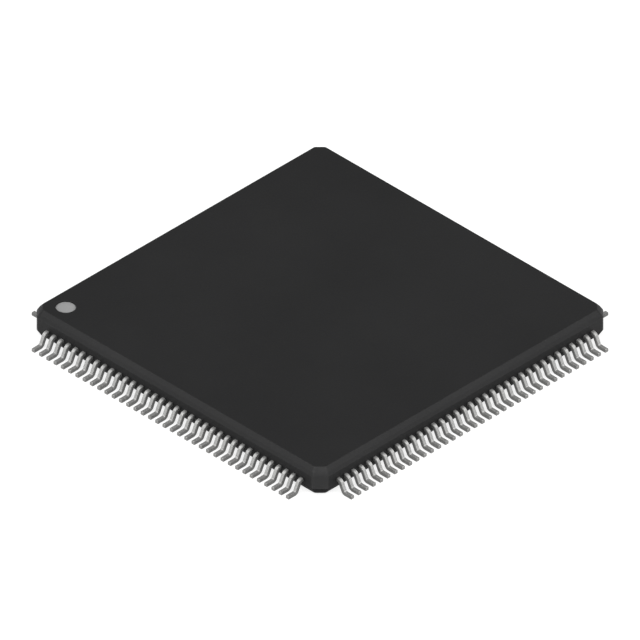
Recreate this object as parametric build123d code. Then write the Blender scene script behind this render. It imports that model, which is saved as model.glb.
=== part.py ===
from build123d import *
import os
from math import cos, radians, sin, sqrt, tan

# 144-lead quad flat pack. Millimetres, +Z up, origin at the centre of the seating plane.
# Lead 1 is on the -X side, next to the index mark, and the numbers run anticlockwise from above:
# left 1 to 36, front (-Y) 37 to 72, right 73 to 108, rear 109 to 144.

# Body
body_width = 20.0            # square, wall to wall
standoff = 0.10              # air between the board and the underside
body_height = 1.50           # underside to top
skirt_height = 0.34          # lower draft, underside to wall
skirt_inset = 0.20           # how far the underside stands in from the wall
wall_height = 0.76           # the upright stretch that the leads leave from
band_height = 0.18           # steep draft above the wall
band_inset = 0.09
bevel_inset = 0.19           # bevel up to the top face
corner_leg = 0.49            # corner chamfer at the wall
corner_round = 0.23          # rounding of the chamfer's two upright edges
edge_leg = 0.38              # the same two at the top and underside
edge_round = 0.16

# Leads
leads_per_side = 36
lead_pitch = 0.50
lead_width = 0.22
sheet = 0.20                 # thickness of the lead frame
lead_level = 0.59            # underside of a lead where it leaves the wall
lead_reach = 1.00            # wall to toe
shoulder_run = 0.04          # level stretch outside the wall before the bend
leg_angle = 64.5             # from the board
bend_radius = 0.10           # inside the bend
bend_turns = 3               # equal turns that make up a bend, few because there are 288 bends
tip_pitch = 0.25             # inner tips beside the paddle
tip_width = 0.13
tip_gap = 0.45               # paddle edge to the inner tips

# Paddle, tie bars, die
paddle_width = 9.0
paddle_drop = 0.20           # paddle top below the lead top
tie_bar_width = 0.30
tie_bar_cover = 0.50         # compound left over the end of a tie bar
tie_bar_flat = 0.35          # level stretch beyond the paddle's corner before the bar rises
tie_bar_rise = 0.50          # length of the rising stretch in plan
die_width = 7.0
die_thickness = 0.28
attach_thickness = 0.03
attach_margin = 0.15         # squeeze-out round the die

# Index mark
mark_diameter = 1.00
mark_inset = 1.25            # from both walls to the middle of the mark
mark_recess = 0.10
mark_thickness = 0.03

# Ejector marks on the underside
ejector_diameter = 1.60
ejector_inset = 3.20         # from both walls to the middle of a mark
ejector_depth = 0.05

half_body = body_width / 2
wall_bottom = standoff + skirt_height
wall_top = wall_bottom + wall_height
band_top = wall_top + band_height
body_top = standoff + body_height
lead_top = lead_level + sheet
paddle_top = lead_top - paddle_drop
on_plane = (Align.CENTER, Align.CENTER, Align.MIN)


def outline(half, leg, radius, z):
    """Square with chamfered corners, each chamfer rounded into its two sides."""
    a, b = half, half - leg
    points = [(a, -b), (a, b), (b, a), (-b, a), (-a, b), (-a, -b), (-b, -a), (b, -a)]
    sketch = make_face(Polyline(points, close=True))
    return Plane.XY.offset(z) * fillet(sketch.vertices(), radius)


def plain_body():
    underside = outline(half_body - skirt_inset, edge_leg, edge_round, standoff)
    wall_foot = outline(half_body, corner_leg, corner_round, wall_bottom)
    wall_head = outline(half_body, corner_leg, corner_round, wall_top)
    band_head = outline(half_body - band_inset, corner_leg, corner_round, band_top)
    top = outline(half_body - band_inset - bevel_inset, edge_leg, edge_round, body_top)
    skirt = loft([underside, wall_foot], ruled=True)
    wall = extrude(wall_foot, wall_height)
    band = loft([wall_head, band_head], ruled=True)
    bevel = loft([band_head, top], ruled=True)
    return skirt + wall + band + bevel


def gull_path():
    """Middle line of a lead outside the wall: shoulder, bend down, leg, bend back, foot."""
    turn = radians(leg_angle) / bend_turns
    middle_radius = bend_radius + sheet / 2
    half_flat = middle_radius * tan(turn / 2)
    bend_drop = middle_radius * (1 - cos(radians(leg_angle)))
    leg_run = (lead_level - 2 * bend_drop) / sin(radians(leg_angle))
    flats = [2 * half_flat] * (bend_turns - 1)
    runs = [shoulder_run + half_flat] + flats + [leg_run + 2 * half_flat] + flats
    turns = [turn] * bend_turns + [-turn] * (bend_turns - 1)
    d, z, heading = half_body, lead_level + sheet / 2, 0
    points = [(d, 0, z)]
    for run, bend in zip(runs, turns + [0]):
        d, z = d + run * cos(heading), z - run * sin(heading)
        points.append((d, 0, z))
        heading += bend
    points.append((half_body + lead_reach, 0, sheet / 2))
    return Polyline(points)


def gull_wing():
    path = gull_path()
    strip = Plane(origin=path @ 0, x_dir=(0, 1, 0), z_dir=(1, 0, 0)) * Rectangle(lead_width, sheet)
    return sweep(strip, path, transition=Transition.RIGHT)


def finger(along, tip_along):
    """A lead inside the body, tapering to its tip beside the paddle."""
    tip = paddle_width / 2 + tip_gap
    plan = [
        (half_body, along - lead_width / 2), (half_body, along + lead_width / 2),
        (tip, tip_along + tip_width / 2), (tip, tip_along - tip_width / 2),
    ]
    return extrude(Plane.XY.offset(lead_level) * make_face(Polyline(plan, close=True)), sheet)


def finger_row():
    steps = [i - (leads_per_side - 1) / 2 for i in range(leads_per_side)]
    return [finger(step * lead_pitch, step * tip_pitch) for step in steps], steps


def die_paddle():
    low = paddle_top - sheet
    half_diagonal = paddle_width / 2 * sqrt(2)
    paddle = Pos(0, 0, low) * Box(paddle_width, paddle_width, sheet, align=on_plane)
    root = half_diagonal - tie_bar_width
    rise = half_diagonal + tie_bar_flat
    crest = rise + tie_bar_rise
    end = (half_body - corner_leg / 2) * sqrt(2) - tie_bar_cover
    side = [
        (root, low), (rise, low), (crest, lead_level), (end, lead_level),
        (end, lead_top), (crest, lead_top), (rise, paddle_top), (root, paddle_top),
    ]
    bar = extrude(Plane.XZ * make_face(Polyline(side, close=True)), tie_bar_width / 2, both=True)
    return paddle + [Rot(0, 0, 45 + 90 * corner) * bar for corner in range(4)]


def disc(diameter, x, y, low, height):
    return Pos(x, y, low) * Cylinder(diameter / 2, height, align=on_plane)


paddle = die_paddle()
attach_width = die_width + 2 * attach_margin
attach = Pos(0, 0, paddle_top) * Box(attach_width, attach_width, attach_thickness, align=on_plane)
die_seat = paddle_top + attach_thickness
die = Pos(0, 0, die_seat) * Box(die_width, die_width, die_thickness, align=on_plane)

fingers, steps = finger_row()
wing = gull_wing()
row = [Pos(0, step * lead_pitch, 0) * wing + inner for step, inner in zip(steps, fingers)]
sides = {"left": 180, "front": 270, "right": 0, "rear": 90}

mark_place = half_body - mark_inset
recess_floor = body_top - mark_recess
mark = disc(mark_diameter, -mark_place, mark_place, recess_floor, mark_thickness)
recess = disc(mark_diameter, -mark_place, mark_place, recess_floor, mark_recess)
ejector_place = half_body - ejector_inset
ejectors = [disc(ejector_diameter, x, y, standoff, ejector_depth)
            for x in (-ejector_place, ejector_place) for y in (-ejector_place, ejector_place)]

body = plain_body() - ([recess, paddle, attach, die] + ejectors)
body -= [Rot(0, 0, angle) * inner for angle in sides.values() for inner in fingers]

os.makedirs("parts", exist_ok=True)
export_step(body, "parts/package_body.step")
export_step(mark, "parts/index_mark.step")
export_step(paddle, "parts/die_paddle.step")
export_step(attach, "parts/die_attach.step")
export_step(die, "parts/silicon_die.step")
for side, angle in sides.items():
    export_step(Compound([Rot(0, 0, angle) * lead for lead in row]), f"parts/leads_{side}.step")
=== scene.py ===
from math import atan2, cos, hypot, pi, radians, sin, tan

import bpy
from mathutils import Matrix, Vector


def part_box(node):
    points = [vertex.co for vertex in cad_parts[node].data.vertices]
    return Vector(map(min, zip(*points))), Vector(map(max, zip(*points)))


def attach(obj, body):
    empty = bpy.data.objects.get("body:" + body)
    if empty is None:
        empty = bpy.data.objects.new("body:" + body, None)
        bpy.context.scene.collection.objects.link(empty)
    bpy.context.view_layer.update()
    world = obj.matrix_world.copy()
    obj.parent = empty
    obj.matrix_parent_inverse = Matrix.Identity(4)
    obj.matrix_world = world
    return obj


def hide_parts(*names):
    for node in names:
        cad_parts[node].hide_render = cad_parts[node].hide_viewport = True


# quad flat pack: pieces are modelled in millimetres and brought down to metres when finished
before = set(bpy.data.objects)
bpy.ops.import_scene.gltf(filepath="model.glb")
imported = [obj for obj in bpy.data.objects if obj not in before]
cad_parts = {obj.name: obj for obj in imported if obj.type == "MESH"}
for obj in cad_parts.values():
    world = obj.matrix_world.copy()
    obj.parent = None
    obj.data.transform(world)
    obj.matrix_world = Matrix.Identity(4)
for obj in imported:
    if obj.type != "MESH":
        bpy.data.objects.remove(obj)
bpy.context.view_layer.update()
mm = 0.001
near = 0.002  # millimetres, how close counts as the same place
weldGap = near / 4
facing = 0.99  # a normal with this much of itself along an axis faces along it


def boxInMm(node):
    low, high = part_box(node)
    return Vector(low) / mm, Vector(high) / mm


bodyLow, bodyHigh = boxInMm("package_body")
markLow, markHigh = boxInMm("index_mark")
markMiddle = (markLow + markHigh) / 2
markRadius = (markHigh.x - markLow.x) / 2
rowHigh = boxInMm("leads_right")[1]
dieHigh = boxInMm("silicon_die")[1]
wall = bodyHigh.x
toe = rowHigh.x
leadTop = rowHigh.z
print("frame loaded:", len(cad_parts), "nodes")


# handling

def takeUp(*pieces):
    if bpy.context.mode != "OBJECT":
        bpy.ops.object.mode_set(mode="OBJECT")
    bpy.ops.object.select_all(action="DESELECT")
    for piece in pieces:
        piece.select_set(True)
    bpy.context.view_layer.objects.active = pieces[0]


def pick(piece, kind, wanted):  # leaves edit mode on, with only the wanted parts selected
    bpy.ops.object.mode_set(mode="EDIT")
    bpy.ops.mesh.select_mode(type=kind)
    bpy.ops.mesh.select_all(action="DESELECT")
    bpy.ops.object.mode_set(mode="OBJECT")
    mesh = piece.data
    for part in {"VERT": mesh.vertices, "EDGE": mesh.edges, "FACE": mesh.polygons}[kind]:
        part.select = wanted(part)
    bpy.ops.object.mode_set(mode="EDIT")


def edgeEnds(piece, edge):
    return [piece.data.vertices[i].co for i in edge.vertices]


def settle(piece):  # place, turn and size go into the mesh
    takeUp(piece)
    bpy.ops.object.transform_apply(location=True, rotation=True, scale=True)


def extrudeBy(x, y, z):
    bpy.ops.mesh.extrude_region_move(TRANSFORM_OT_translate={"value": (x, y, z)})


def copyOf(piece):
    takeUp(piece)
    bpy.ops.object.duplicate(linked=False)
    return bpy.context.object


def faceOutwards(piece):
    takeUp(piece)
    bpy.ops.object.mode_set(mode="EDIT")
    bpy.ops.mesh.select_all(action="SELECT")
    bpy.ops.mesh.normals_make_consistent(inside=False)
    bpy.ops.object.mode_set(mode="OBJECT")


def finishPiece(piece, name, sharpAngle, *materials):
    faceOutwards(piece)
    piece.scale = (mm, mm, mm)
    settle(piece)
    bpy.ops.object.shade_smooth_by_angle(angle=radians(sharpAngle))
    evened = piece.modifiers.new("evenShading", "WEIGHTED_NORMAL")
    evened.keep_sharp = True
    bpy.ops.object.modifier_apply(modifier=evened.name)
    piece.name = piece.data.name = name
    piece.data.materials.clear()
    for material in materials:
        piece.data.materials.append(material)
    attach(piece, "root")


# materials, all on Object coordinates in metres

def startMaterial(name):
    material = bpy.data.materials.new(name)
    material.use_nodes = True
    tree = material.node_tree
    return material, tree, tree.nodes["Principled BSDF"]


def addNode(tree, kind, inputs=None, **settings):
    node = tree.nodes.new(kind)
    for key, value in settings.items():
        setattr(node, key, value)
    for key, value in (inputs or {}).items():
        node.inputs[key].default_value = value
    return node


def addNoise(tree, scale, detail=3, stretch=(1, 1, 1)):
    place = addNode(tree, "ShaderNodeTexCoord")
    stretched = addNode(tree, "ShaderNodeMapping", {"Scale": stretch})
    noise = addNode(tree, "ShaderNodeTexNoise",
                    {"Scale": scale, "Detail": detail, "Roughness": 0.55})
    tree.links.new(place.outputs["Object"], stretched.inputs["Vector"])
    tree.links.new(stretched.outputs["Vector"], noise.inputs["Vector"])
    return noise.outputs["Fac"]


def addSpecks(tree, scale, size, core=0.4):  # core is the share of a speck at full strength
    place = addNode(tree, "ShaderNodeTexCoord")
    cells = addNode(tree, "ShaderNodeTexVoronoi", {"Scale": scale})
    spots = addNode(tree, "ShaderNodeMapRange", {"From Min": size, "From Max": size * core})
    tree.links.new(place.outputs["Object"], cells.inputs["Vector"])
    tree.links.new(cells.outputs["Distance"], spots.inputs["Value"])
    return spots.outputs["Result"]


def spread(tree, source, low, high, fromLow=0.3, fromHigh=0.7):
    ranged = addNode(tree, "ShaderNodeMapRange",
                     {"From Min": fromLow, "From Max": fromHigh, "To Min": low, "To Max": high})
    tree.links.new(source, ranged.inputs["Value"])
    return ranged.outputs["Result"]


def blendColours(tree, factor, first, second):
    mixed = addNode(tree, "ShaderNodeMix", data_type="RGBA")
    colours = [socket for socket in mixed.inputs if socket.type == "RGBA"]
    for socket, colour in zip(colours, (first, second)):
        if isinstance(colour, tuple):
            socket.default_value = (*colour, 1.0)
        else:
            tree.links.new(colour, socket)
    tree.links.new(factor, mixed.inputs["Factor"])
    return [socket for socket in mixed.outputs if socket.type == "RGBA"][0]


def addBumps(tree, shader, *layers):  # each layer is height, depth in metres
    previous = None
    for height, depth in layers:
        bump = addNode(tree, "ShaderNodeBump", {"Distance": depth, "Strength": 1.0})
        tree.links.new(height, bump.inputs["Height"])
        if previous:
            tree.links.new(previous, bump.inputs["Normal"])
        previous = bump.outputs["Normal"]
    tree.links.new(previous, shader.inputs["Normal"])


compoundLook = {
    "dark": (0.0091, 0.0091, 0.0094), "light": (0.0118, 0.0118, 0.0121),
    # the long walls and the skirt: the same compound, darkened as painted shade
    "shadedWallDark": (0.0046, 0.0046, 0.0049), "shadedWallLight": (0.0062, 0.0062, 0.0064),
    "speck": (0.026, 0.026, 0.026),
    "flow": 160, "grain": 9000, "filler": 5200,  # patterns a metre
    "speckSize": 0.16, "speckShare": 0.35,  # shares of a cell's width and of the speck's colour
    "roughLow": 0.50, "roughHigh": 0.62,
    "specular": 0.28, "wallSpecular": 0.22, "skirtSpecular": 0.03,
    "grainDepth": 1.6e-6, "fillerDepth": 0.8e-6,
}


def makeCompound(name, dark, light, specular):
    look = compoundLook
    material, tree, shader = startMaterial(name)
    flow = addNoise(tree, look["flow"], detail=4)
    grain = addNoise(tree, look["grain"])
    filler = addSpecks(tree, look["filler"], look["speckSize"])
    base = blendColours(tree, spread(tree, flow, 0, 1), dark, light)
    share = spread(tree, filler, 0, look["speckShare"], fromLow=0, fromHigh=1)
    speckled = blendColours(tree, share, base, look["speck"])
    rough = spread(tree, grain, look["roughLow"], look["roughHigh"])
    tree.links.new(speckled, shader.inputs["Base Color"])
    tree.links.new(rough, shader.inputs["Roughness"])
    shader.inputs["Specular IOR Level"].default_value = specular
    addBumps(tree, shader, (grain, look["grainDepth"]), (filler, look["fillerDepth"]))
    return material


tinLook = {
    "dark": (0.39, 0.39, 0.385), "light": (0.50, 0.50, 0.49),
    "shearedAndShadedDark": (0.13, 0.13, 0.128), "shearedAndShadedLight": (0.20, 0.20, 0.195),  # stamped sides: partly their duller finish, partly painted shade
    # cut ends: partly the cut metal's own dull tone, partly painted shade
    "cutAndShadedDark": (0.22, 0.218, 0.213), "cutAndShadedLight": (0.30, 0.297, 0.29),
    "along": 1500, "across": 22000, "grain": 16000,  # patterns a metre
    "roughLow": 0.43, "roughHigh": 0.55, "dullRough": 0.10, "metal": 0.85,
    "drawnDepth": 0.8e-6, "grainDepth": 1.2e-6,
}


def makeTin(name, stretch, dark, light, extraRough=0.0):
    look = tinLook
    material, tree, shader = startMaterial(name)
    drawn = addNoise(tree, 1, detail=2, stretch=stretch)
    grain = addNoise(tree, look["grain"])
    tint = blendColours(tree, spread(tree, drawn, 0, 1), dark, light)
    rough = spread(tree, grain, look["roughLow"] + extraRough, look["roughHigh"] + extraRough)
    tree.links.new(tint, shader.inputs["Base Color"])
    tree.links.new(rough, shader.inputs["Roughness"])
    shader.inputs["Metallic"].default_value = look["metal"]
    addBumps(tree, shader, (drawn, look["drawnDepth"]), (grain, look["grainDepth"]))
    return material


plainLooks = {  # dark, light, roughness low and high, metallic, pattern a metre, depth in metres
    "indexInk": ((0.228, 0.228, 0.228), (0.27, 0.27, 0.27), 0.55, 0.70, 0.0, 7000, 1.5e-6),
    "attachEpoxy": ((0.36, 0.36, 0.34), (0.48, 0.48, 0.46), 0.50, 0.65, 0.3, 5000, 2.0e-6),
    "silicon": ((0.13, 0.14, 0.17), (0.18, 0.19, 0.22), 0.12, 0.20, 0.6, 1800, 0.2e-6),
    "bareCopper": ((0.56, 0.31, 0.21), (0.68, 0.41, 0.29), 0.30, 0.45, 1.0, 6000, 1.0e-6),
}
cloudWidth = 12  # the clouds in the tint are this many times wider than the grain


def makePlain(name):
    dark, light, roughLow, roughHigh, metallic, scale, depth = plainLooks[name]
    material, tree, shader = startMaterial(name)
    grain = addNoise(tree, scale, detail=4)
    cloud = addNoise(tree, scale / cloudWidth, detail=2)
    tint = blendColours(tree, spread(tree, cloud, 0, 1), dark, light)
    rough = spread(tree, grain, roughLow, roughHigh)
    tree.links.new(tint, shader.inputs["Base Color"])
    tree.links.new(rough, shader.inputs["Roughness"])
    shader.inputs["Metallic"].default_value = metallic
    addBumps(tree, shader, (grain, depth))
    return material


compound = makeCompound("mouldCompound", compoundLook["dark"], compoundLook["light"],
                        compoundLook["specular"])
# darker copies of the compound for the long walls and the skirt, as painted shade
shadedWallCompound = makeCompound("shadedWallCompound", compoundLook["shadedWallDark"], compoundLook["shadedWallLight"],
                            compoundLook["wallSpecular"])
shadedSkirtCompound = makeCompound("shadedSkirtCompound", compoundLook["shadedWallDark"], compoundLook["shadedWallLight"],
                             compoundLook["skirtSpecular"])
along, across = tinLook["along"], tinLook["across"]
tinX = makeTin("tinAlongX", (along, across, across), tinLook["dark"], tinLook["light"])
tinY = makeTin("tinAlongY", (across, along, across), tinLook["dark"], tinLook["light"])
# the stamped sides' darker tin: partly their duller finish, partly painted shade
shearedAndShadedTin = makeTin("shearedAndShadedSide", (across, across, along),
                  tinLook["shearedAndShadedDark"], tinLook["shearedAndShadedLight"], tinLook["dullRough"])
# the cut ends' darker tin: partly the cut metal's own dull tone, partly painted shade
cutAndShadedTin = makeTin("cutAndShadedEnd", (across, across, along),
                 tinLook["cutAndShadedDark"], tinLook["cutAndShadedLight"], tinLook["dullRough"])
ink = makePlain("indexInk")
copper = makePlain("bareCopper")
print("materials made")


# body

bodyShape = {  # millimetres and degrees
    "skirtInset": 0.20, "skirtHeight": 0.34,
    "wallHeight": 0.76,
    "bandInset": 0.09, "bandHeight": 0.18,
    "bevelInset": 0.19,
    "cornerLeg": 0.49, "cornerRound": 0.23, "roundSteps": 6,
    "endShare": 0.78,  # what is left of the corner chamfer at the top face and the underside
    "softEdge": 0.022, "rimEdge": 0.012, "sharpAngle": 50,
    "circleSteps": 96, "recessGap": 0.001,
    "ejectorInset": 3.20, "ejectorRadius": 0.80, "ejectorDepth": 0.05,
    "wallNormal": 0.999,  # a face that points this squarely along X or Y is one of the long walls
    "skirtNormal": 0.1,  # one that points down by more than this is skirt
}


def squeezeLevel(piece, level, oldHalf, newHalf, cornerShare):
    shape = bodyShape
    share = newHalf / oldHalf
    pick(piece, "VERT", lambda v: abs(v.co.z - level) < near)
    bpy.ops.transform.resize(value=(share, share, 1), center_override=(0, 0, level))
    if cornerShare != 1:
        reach = newHalf - shape["cornerLeg"] - shape["cornerRound"]
        squeeze = (cornerShare, cornerShare, 1)
        for sx in (-1, 1):
            for sy in (-1, 1):
                pick(piece, "VERT", lambda v: abs(v.co.z - level) < near
                     and v.co.x * sx > reach and v.co.y * sy > reach)
                corner = (newHalf * sx, newHalf * sy, level)
                bpy.ops.transform.resize(value=squeeze, center_override=corner)


def pickLevelFace(piece, level):
    pick(piece, "FACE", lambda f: abs(f.center.z - level) < near and abs(f.normal.z) > facing)


def cutRound(piece, x, y, z, radius, depth):  # half of the cutter stands out of the face at z
    takeUp(piece)
    bpy.ops.mesh.primitive_cylinder_add(vertices=bodyShape["circleSteps"], radius=radius,
                                        depth=2 * depth, location=(x, y, z))
    cutter = bpy.context.object
    takeUp(piece)
    cut = piece.modifiers.new("recess", "BOOLEAN")
    cut.operation = "DIFFERENCE"
    cut.solver = "EXACT"
    cut.object = cutter
    bpy.ops.object.modifier_apply(modifier=cut.name)
    bpy.data.objects.remove(cutter, do_unlink=True)

    def onRim(edge):
        return all(abs(p.z - z) < near and abs(hypot(p.x - x, p.y - y) - radius) < near
                   for p in edgeEnds(piece, edge))

    pick(piece, "EDGE", onRim)
    bpy.ops.mesh.bevel(offset=bodyShape["rimEdge"], segments=2, affect="EDGES")
    takeUp(piece)


def makeBody():
    shape = bodyShape
    bottom, top = bodyLow.z, bodyHigh.z
    wallFoot = bottom + shape["skirtHeight"]
    wallHead = wallFoot + shape["wallHeight"]
    bandHead = wallHead + shape["bandHeight"]
    bandHalf = wall - shape["bandInset"]
    roundOff = shape["cornerRound"] * tan(pi / 8)  # from a 45 degree corner to its round
    bpy.ops.object.select_all(action="DESELECT")
    bpy.ops.mesh.primitive_plane_add(size=2 * wall, location=(0, 0, wallFoot))
    body = bpy.context.object
    settle(body)
    bpy.ops.object.mode_set(mode="EDIT")
    bpy.ops.mesh.select_all(action="SELECT")
    bpy.ops.mesh.bevel(affect="VERTICES", offset=shape["cornerLeg"], segments=1)
    bpy.ops.mesh.bevel(affect="VERTICES", offset=roundOff, segments=shape["roundSteps"])
    extrudeBy(0, 0, shape["wallHeight"])
    extrudeBy(0, 0, shape["bandHeight"])
    squeezeLevel(body, bandHead, wall, bandHalf, 1)
    pickLevelFace(body, bandHead)
    extrudeBy(0, 0, top - bandHead)
    squeezeLevel(body, top, bandHalf, bandHalf - shape["bevelInset"], shape["endShare"])
    pickLevelFace(body, wallFoot)
    extrudeBy(0, 0, bottom - wallFoot)
    squeezeLevel(body, bottom, wall, wall - shape["skirtInset"], shape["endShare"])
    levels = (bottom, wallFoot, wallHead, bandHead, top)

    def onLevel(edge):
        a, b = edgeEnds(body, edge)
        return abs(a.z - b.z) < near and any(abs(a.z - level) < near for level in levels)

    pick(body, "EDGE", onLevel)
    bpy.ops.mesh.bevel(offset=shape["softEdge"], segments=2, affect="EDGES")
    faceOutwards(body)
    recessRadius = markRadius + shape["recessGap"]
    cutRound(body, markMiddle.x, markMiddle.y, top, recessRadius, top - markLow.z)
    place = wall - shape["ejectorInset"]
    for x in (-place, place):
        for y in (-place, place):
            cutRound(body, x, y, bottom, shape["ejectorRadius"], shape["ejectorDepth"])
    finishPiece(body, "mouldedBody", shape["sharpAngle"], compound, shadedWallCompound, shadedSkirtCompound)
    shadedWallSlot, shadedSkirtSlot = 1, 2
    for face in body.data.polygons:  # painted shade: the four long walls and the skirt take a darker copy of the compound, and the skirt is dull
        if max(abs(face.normal.x), abs(face.normal.y)) > shape["wallNormal"]:
            face.material_index = shadedWallSlot
        elif shape["skirtNormal"] < -face.normal.z < facing:
            face.material_index = shadedSkirtSlot
    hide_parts("package_body")
    print("body made:", len(body.data.polygons), "faces")


makeBody()


# index mark

markShape = {  # millimetres and degrees
    "circleSteps": 96, "rimEdge": 0.010, "sharpAngle": 50,
    "skinInset": 0.12, "skinDrop": 0.004,  # the ink dries a little hollow
}


def makeMark():
    shape = markShape
    bpy.ops.object.select_all(action="DESELECT")
    bpy.ops.mesh.primitive_cylinder_add(vertices=shape["circleSteps"], radius=markRadius,
                                        depth=markHigh.z - markLow.z, location=markMiddle)
    mark = bpy.context.object
    settle(mark)
    pick(mark, "FACE", lambda f: f.normal.z > facing)
    bpy.ops.mesh.bevel(offset=shape["rimEdge"], segments=3, affect="EDGES")
    pick(mark, "FACE", lambda f: f.normal.z > facing and len(f.vertices) == shape["circleSteps"])
    bpy.ops.mesh.inset(thickness=shape["skinInset"], depth=-shape["skinDrop"])
    finishPiece(mark, "indexInk", shape["sharpAngle"], ink)
    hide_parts("index_mark")
    print("index mark made")


makeMark()


# leads

leadShape = {  # millimetres and degrees
    "width": 0.22, "sheet": 0.20,
    "shoulderRun": 0.04, "legAngle": 64.5, "bendRadius": 0.10, "bendSteps": 6,
    "softEdge": 0.028, "toeEdge": 0.010, "sideNormal": 0.3, "sharpAngle": 40,
    "count": 36, "pitch": 0.50,
    "tipPlace": 4.95, "tipPitch": 0.25, "tipWidth": 0.13,
}


def bendStrip(middleX, middleZ, angle):
    bpy.ops.mesh.spin(steps=leadShape["bendSteps"], angle=-radians(angle),
                      center=(middleX, 0, middleZ), axis=(0, 1, 0))


def makeLead():  # one lead of the right row, at y = 0
    shape = leadShape
    sheet, width = shape["sheet"], shape["width"]
    middle = leadTop - sheet / 2
    radius = shape["bendRadius"] + sheet / 2
    angle = radians(shape["legAngle"])
    bendDrop = radius * (1 - cos(angle))
    legRun = (middle - sheet / 2 - 2 * bendDrop) / sin(angle)  # the part between the bends
    bpy.ops.object.select_all(action="DESELECT")
    bpy.ops.mesh.primitive_plane_add(size=1, location=(wall, 0, middle), rotation=(0, pi / 2, 0))
    lead = bpy.context.object
    lead.scale = (sheet, width, 1)
    settle(lead)
    bpy.ops.object.mode_set(mode="EDIT")
    bpy.ops.mesh.select_all(action="SELECT")
    bpy.ops.mesh.bevel(affect="VERTICES", offset=shape["softEdge"], segments=1)
    x, z = wall + shape["shoulderRun"], middle
    extrudeBy(shape["shoulderRun"], 0, 0)
    bendStrip(x, z - radius, shape["legAngle"])
    x, z = x + radius * sin(angle), z - bendDrop
    extrudeBy(legRun * cos(angle), 0, -legRun * sin(angle))
    x, z = x + legRun * cos(angle), z - legRun * sin(angle)
    bendStrip(x + radius * sin(angle), z + radius * cos(angle), -shape["legAngle"])
    x = x + radius * sin(angle)
    extrudeBy(toe - x, 0, 0)
    bpy.ops.mesh.select_all(action="SELECT")
    bpy.ops.mesh.remove_doubles(threshold=weldGap)
    pick(lead, "FACE", lambda f: abs(f.center.x - wall) < near and abs(f.normal.x) > facing)
    extrudeBy(shape["tipPlace"] - wall, 0, 0)
    pick(lead, "FACE", lambda f: abs(f.center.x - toe) < near and abs(f.normal.x) > facing)
    bpy.ops.mesh.bevel(offset=shape["toeEdge"], segments=1, affect="EDGES")
    faceOutwards(lead)
    return lead


def fitLead(lead, step):  # moves a copy to its place in the row, and its inner end to its fingertip
    shape = leadShape
    y, tipY = step * shape["pitch"], step * shape["tipPitch"]
    narrow = shape["tipWidth"] / shape["width"]
    lead.location.y = y
    settle(lead)
    pick(lead, "VERT", lambda v: v.co.x < shape["tipPlace"] + near)
    bpy.ops.transform.resize(value=(1, narrow, 1), center_override=(0, y, 0))
    bpy.ops.transform.translate(value=(0, tipY - y, 0))
    bpy.ops.object.mode_set(mode="OBJECT")


def makeRow(model, fit):  # the right side's row of copies, each fitted to its own place
    copies = []
    for number in range(leadShape["count"]):
        one = copyOf(model)
        fit(one, number - (leadShape["count"] - 1) / 2)
        copies.append(one)
    takeUp(*copies)
    bpy.ops.object.join()
    row = bpy.context.object
    bpy.data.objects.remove(model, do_unlink=True)
    return row


rowTurns = {"right": (0, tinX), "rear": (90, tinY), "left": (180, tinX), "front": (270, tinY)}


def makeLeads():
    row = makeRow(makeLead(), fitLead)
    shearedAndShadedSlot, cutAndShadedSlot = 1, 2
    for side, (turn, tin) in rowTurns.items():
        piece = copyOf(row)
        piece.rotation_euler.z = radians(turn)
        settle(piece)
        outward = Vector((cos(radians(turn)), sin(radians(turn)), 0))
        sideways = Vector((-outward.y, outward.x, 0))
        finishPiece(piece, side + "Leads", leadShape["sharpAngle"], tin, shearedAndShadedTin, cutAndShadedTin)
        # the stamped sides and the cut ends take darker tin: partly their duller finish, partly
        # painted shade
        for face in piece.data.polygons:
            if face.center.dot(outward) > (toe - near) * mm:
                face.material_index = cutAndShadedSlot
            elif abs(face.normal.dot(sideways)) > leadShape["sideNormal"]:
                face.material_index = shearedAndShadedSlot
        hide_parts("leads_" + side)
    bpy.data.objects.remove(row, do_unlink=True)
    print("leads made:", len(piece.data.polygons), "faces a row")


makeLeads()


# bond wires, inside the body, from the die's pads to the fingertips

wireShape = {  # millimetres and degrees
    "thick": 0.025, "sides": 6, "sharpAngle": 40,
    "ballWidth": 0.070, "ballHeight": 0.018,
    "neck": 0.08, "bendRadius": 0.05, "bendSteps": 3,
    "padInset": 0.10, "padPitch": 0.18,
    "archShare": 0.45, "archDrop": 0.25,  # share of the run, and of the drop that it takes
    "stitchInset": 0.10, "stitchLength": 0.06,
    "stitchWidth": 1.8, "stitchHeight": 0.4,  # shares of the wire's
    "modelRun": 1.0,  # from ball to stitch before a copy is stretched
}


def makeWire():  # one wire at the origin, heading along +X
    shape = wireShape
    top, radius = dieHigh.z, shape["bendRadius"]
    bpy.ops.object.select_all(action="DESELECT")
    bpy.ops.mesh.primitive_circle_add(vertices=shape["sides"], radius=shape["ballWidth"] / 2,
                                      fill_type="NGON", location=(0, 0, top))
    wire = bpy.context.object
    settle(wire)
    bpy.ops.object.mode_set(mode="EDIT")
    bpy.ops.mesh.select_all(action="SELECT")
    extrudeBy(0, 0, shape["ballHeight"])
    bpy.ops.mesh.inset(thickness=(shape["ballWidth"] - shape["thick"]) / 2)
    extrudeBy(0, 0, shape["neck"])
    z = top + shape["ballHeight"] + shape["neck"]
    bpy.ops.mesh.spin(steps=shape["bendSteps"], angle=-pi / 2,
                      center=(radius, 0, z), axis=(0, 1, 0))
    run = shape["modelRun"] - radius
    drop = z + radius - leadTop - shape["thick"] / 2
    extrudeBy(run * shape["archShare"], 0, -drop * shape["archDrop"])
    extrudeBy(run * (1 - shape["archShare"]), 0, -drop * (1 - shape["archDrop"]))
    extrudeBy(shape["stitchLength"], 0, 0)
    bpy.ops.transform.resize(value=(1, shape["stitchWidth"], shape["stitchHeight"]),
                             center_override=(0, 0, leadTop))
    bpy.ops.mesh.select_all(action="SELECT")
    bpy.ops.mesh.remove_doubles(threshold=weldGap)
    faceOutwards(wire)
    return wire


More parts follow.
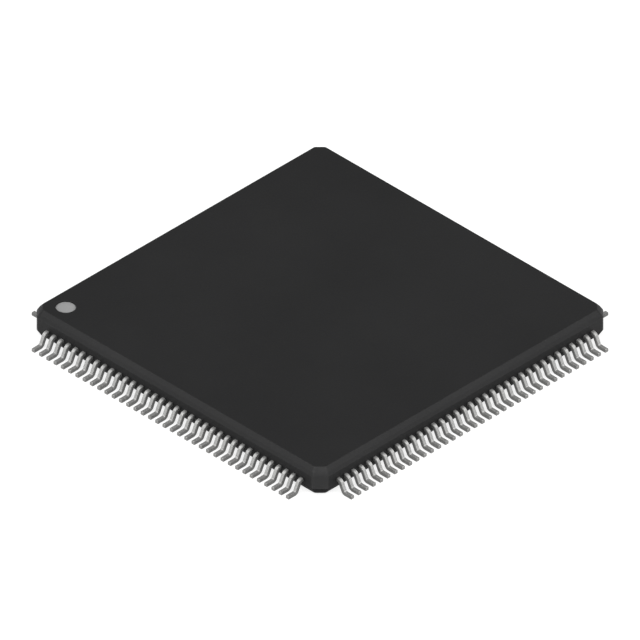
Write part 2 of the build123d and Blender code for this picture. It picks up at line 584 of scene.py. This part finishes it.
def fitWire(wire, step):  # stretches a copy to its own length and turns it towards its finger
    shape = wireShape
    padX, padY = dieHigh.x - shape["padInset"], step * shape["padPitch"]
    tip, tipY = leadShape["tipPlace"], step * leadShape["tipPitch"]
    slant = (step * leadShape["pitch"] - tipY) / (wall - tip)
    reachX = tip + shape["stitchInset"] - padX
    reachY = tipY + slant * shape["stitchInset"] - padY
    radius = shape["bendRadius"]
    pick(wire, "VERT", lambda v: v.co.x > 2 * radius)
    stretch = (hypot(reachX, reachY) - radius) / (shape["modelRun"] - radius)
    bpy.ops.transform.resize(value=(stretch, 1, 1), center_override=(radius, 0, 0))
    bpy.ops.object.mode_set(mode="OBJECT")
    wire.rotation_euler.z = atan2(reachY, reachX)
    wire.location = (padX, padY, 0)
    settle(wire)


def makeWires():
    row = makeRow(makeWire(), fitWire)
    sides = [row]
    for turn in (90, 180, 270):
        side = copyOf(row)
        side.rotation_euler.z = radians(turn)
        settle(side)
        sides.append(side)
    takeUp(*sides)
    bpy.ops.object.join()
    finishPiece(row, "bondWires", wireShape["sharpAngle"], copper)
    print("bond wires made:", len(row.data.polygons), "faces")


makeWires()


# what the body hides keeps its CAD shape and gets a finish

hiddenFinishes = {
    "die_paddle": copper,
    "die_attach": makePlain("attachEpoxy"),
    "silicon_die": makePlain("silicon"),
}

for node, finish in hiddenFinishes.items():
    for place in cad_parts[node].material_slots:
        place.material = finish
print("hidden pieces finished:", len(hiddenFinishes))


# camera, floor and light

shot = {
    "azimuth": -45.0, "elevation": 35.264,  # degrees, an isometric view
    "imageSize": 640, "pixelsPerMm": 20.54,
    "aimHeight": 0.804,  # millimetres above the floor
    "distance": 0.25, "clipStart": 0.001, "clipEnd": 10,  # metres
}


def outFrom(azimuth, elevation, distance):  # azimuth 0 stands on the -Y side
    a, e = radians(azimuth), radians(elevation)
    return Vector((sin(a) * cos(e), -cos(a) * cos(e), sin(e))) * distance


aim = Vector((0, 0, shot["aimHeight"] * mm))
stand = aim + outFrom(shot["azimuth"], shot["elevation"], shot["distance"])
bpy.ops.object.select_all(action="DESELECT")
bpy.ops.object.camera_add(location=stand,
                          rotation=(radians(90 - shot["elevation"]), 0, radians(shot["azimuth"])))
camera = bpy.context.object
camera.data.type = "ORTHO"
camera.data.ortho_scale = shot["imageSize"] / shot["pixelsPerMm"] * mm
camera.data.clip_start = shot["clipStart"]
camera.data.clip_end = shot["clipEnd"]
bpy.context.scene.camera = camera

studio = {
    "floorSize": 3.0, "floorColour": (0.35, 0.35, 0.35, 1), "floorRough": 0.9,
    "floorGlow": 0.75,  # the floor is a light table, lit from below
    "white": (1, 1, 1, 1), "fill": 0.28,
    "backdrop": 1.0,  # what shows past the floor's edge in low views
    "lights": {  # azimuth, elevation, distance and size in metres, radiance
        "leftBox": (-90, 45, 0.5, 0.45, 3.1),
        "frontBox": (0, 45, 0.5, 0.45, 3.1),
        "rearLeftBox": (-135, 45, 0.5, 0.40, 0.7),
        "frontRightBox": (45, 45, 0.5, 0.40, 0.7),
    },
}

bpy.ops.mesh.primitive_plane_add(size=studio["floorSize"], location=(0, 0, 0))
floor = bpy.context.object
floor.name = "studioFloor"
floorMaterial, floorTree, floorShader = startMaterial("paleFloor")
floorShader.inputs["Base Color"].default_value = studio["floorColour"]
floorShader.inputs["Roughness"].default_value = studio["floorRough"]
floorShader.inputs["Specular IOR Level"].default_value = 0.0
floorShader.inputs["Emission Color"].default_value = studio["white"]
floorShader.inputs["Emission Strength"].default_value = studio["floorGlow"]
floor.data.materials.append(floorMaterial)

for name, (azimuth, elevation, distance, size, radiance) in studio["lights"].items():
    bpy.ops.object.light_add(type="AREA", location=outFrom(azimuth, elevation, distance),
                             rotation=(radians(90 - elevation), 0, radians(azimuth)))
    lamp = bpy.context.object
    lamp.name = name
    lamp.data.shape = "SQUARE"
    lamp.data.size = size
    lamp.data.energy = radiance * pi * size * size  # watts
    lamp.visible_camera = False

world = bpy.data.worlds.new("studio")
world.use_nodes = True
tree = world.node_tree
backdrop = tree.nodes["Background"]
backdrop.inputs["Color"].default_value = studio["white"]
backdrop.inputs["Strength"].default_value = studio["backdrop"]
fill = addNode(tree, "ShaderNodeBackground",
               {"Color": studio["white"], "Strength": studio["fill"]})
seen = addNode(tree, "ShaderNodeLightPath")
either = addNode(tree, "ShaderNodeMixShader")
tree.links.new(seen.outputs["Is Camera Ray"], either.inputs[0])
tree.links.new(fill.outputs["Background"], either.inputs[1])
tree.links.new(backdrop.outputs["Background"], either.inputs[2])
tree.links.new(either.outputs["Shader"], tree.nodes["World Output"].inputs["Surface"])
bpy.context.scene.world = world
bpy.context.scene.view_settings.view_transform = "Standard"
print("camera, floor and light set")
